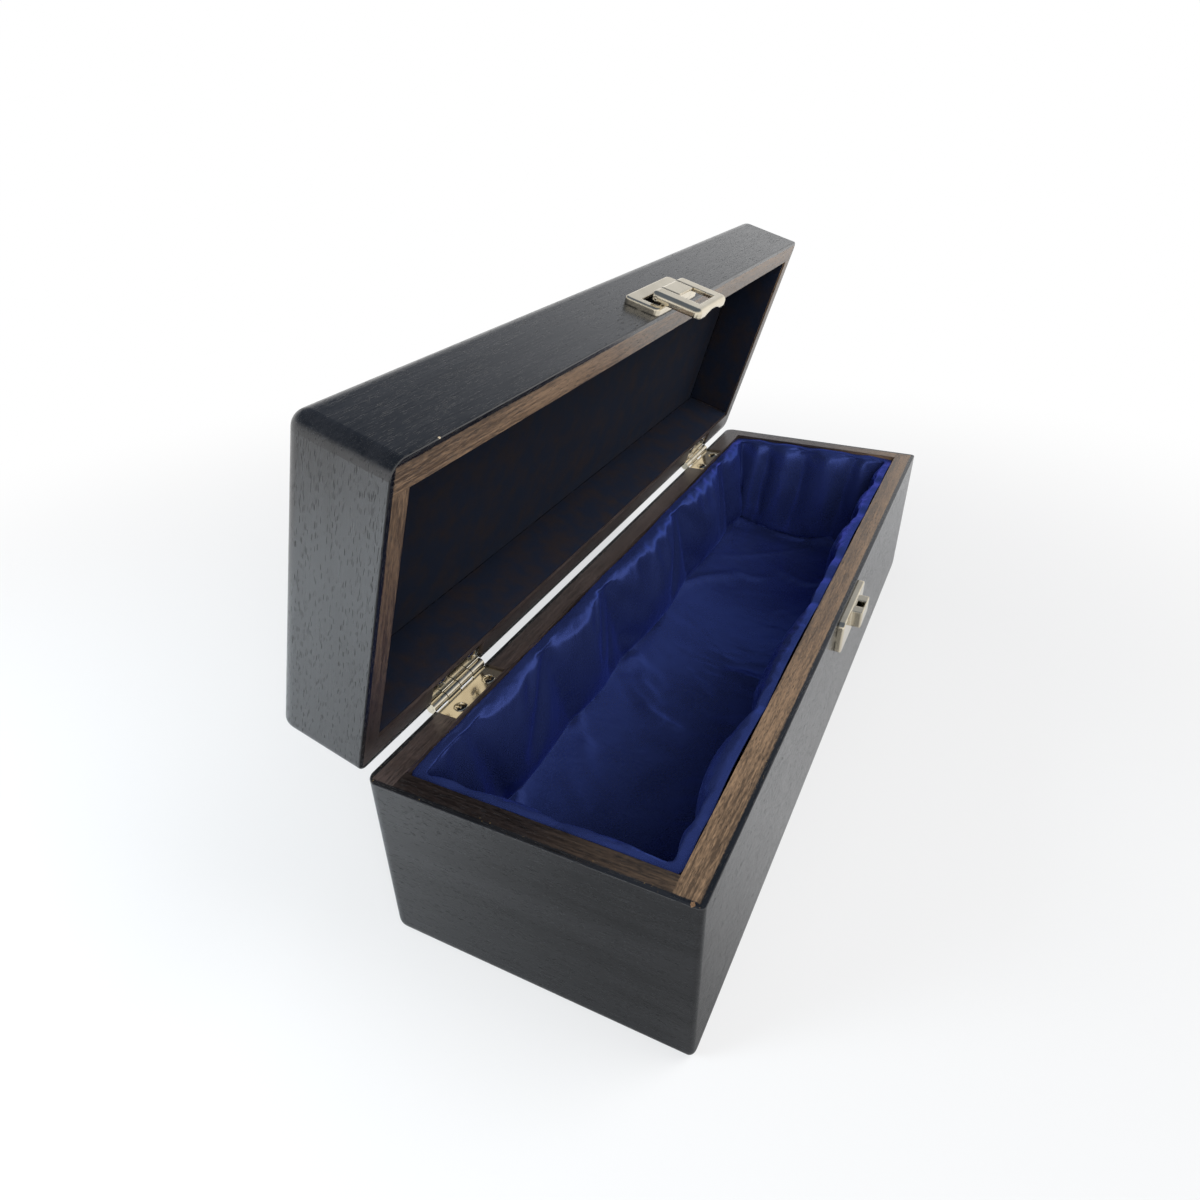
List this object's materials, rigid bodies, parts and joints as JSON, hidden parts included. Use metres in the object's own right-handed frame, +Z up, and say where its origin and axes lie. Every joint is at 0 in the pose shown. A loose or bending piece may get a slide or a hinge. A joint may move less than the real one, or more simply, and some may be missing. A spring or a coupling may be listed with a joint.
{
  "type": "wooden wine box",
  "caption": "Long hinged wooden box for a single wine bottle, satin-lined base, felt-lined lid, butt hinges at the back and a swinging flap latch at the front.",
  "frame": {"origin": "centre of the base's underside", "axes": "+X along the length, -Y to the front with the latch, +Z up"},
  "size_m": [0.374, 0.1609, 0.2015],
  "materials": {
    "stained_wood": "near-black stain, satin, open pores",
    "nickel": "polished nickel plate on steel, slightly warm",
    "satin": "blue satin over wadding",
    "felt": "dark navy felt"
  },
  "bodies": {
    "base": {"base_front_wall": "stained_wood", "base_back_wall": "stained_wood", "base_left_end": "stained_wood", "base_right_end": "stained_wood", "base_bottom_panel": "stained_wood", "base_lining_floor": "satin", "base_lining_front": "satin", "base_lining_back": "satin", "base_lining_left": "satin", "base_lining_right": "satin", "hinge_base_leaf_left": "nickel", "hinge_base_leaf_right": "nickel", "hinge_pin_left": "nickel", "hinge_pin_right": "nickel", "hinge_base_screws": "nickel", "catch_plate": "nickel"},
    "lid": {"lid_front_wall": "stained_wood", "lid_back_wall": "stained_wood", "lid_left_end": "stained_wood", "lid_right_end": "stained_wood", "lid_top_panel": "stained_wood", "lid_lining_top": "felt", "lid_lining_front": "felt", "lid_lining_back": "felt", "lid_lining_left": "felt", "lid_lining_right": "felt", "hinge_lid_leaf_left": "nickel", "hinge_lid_leaf_right": "nickel", "hinge_lid_screws": "nickel", "latch_plate": "nickel", "latch_pin": "nickel"},
    "flap": {"latch_flap": "nickel"}
  },
  "joints": [
    {"name": "lid_hinge", "type": "hinge", "parent": "base", "child": "lid", "pos_m": [0, 0.0619, 0.0762], "axis": [-1, 0, 0], "range_deg": [-73, 107]},
    {"name": "latch_hinge", "type": "hinge", "parent": "lid", "child": "flap", "pos_m": [0, 0.02989, 0.19869], "axis": [-1, 0, 0], "range_deg": [0, 90]}
  ]
}
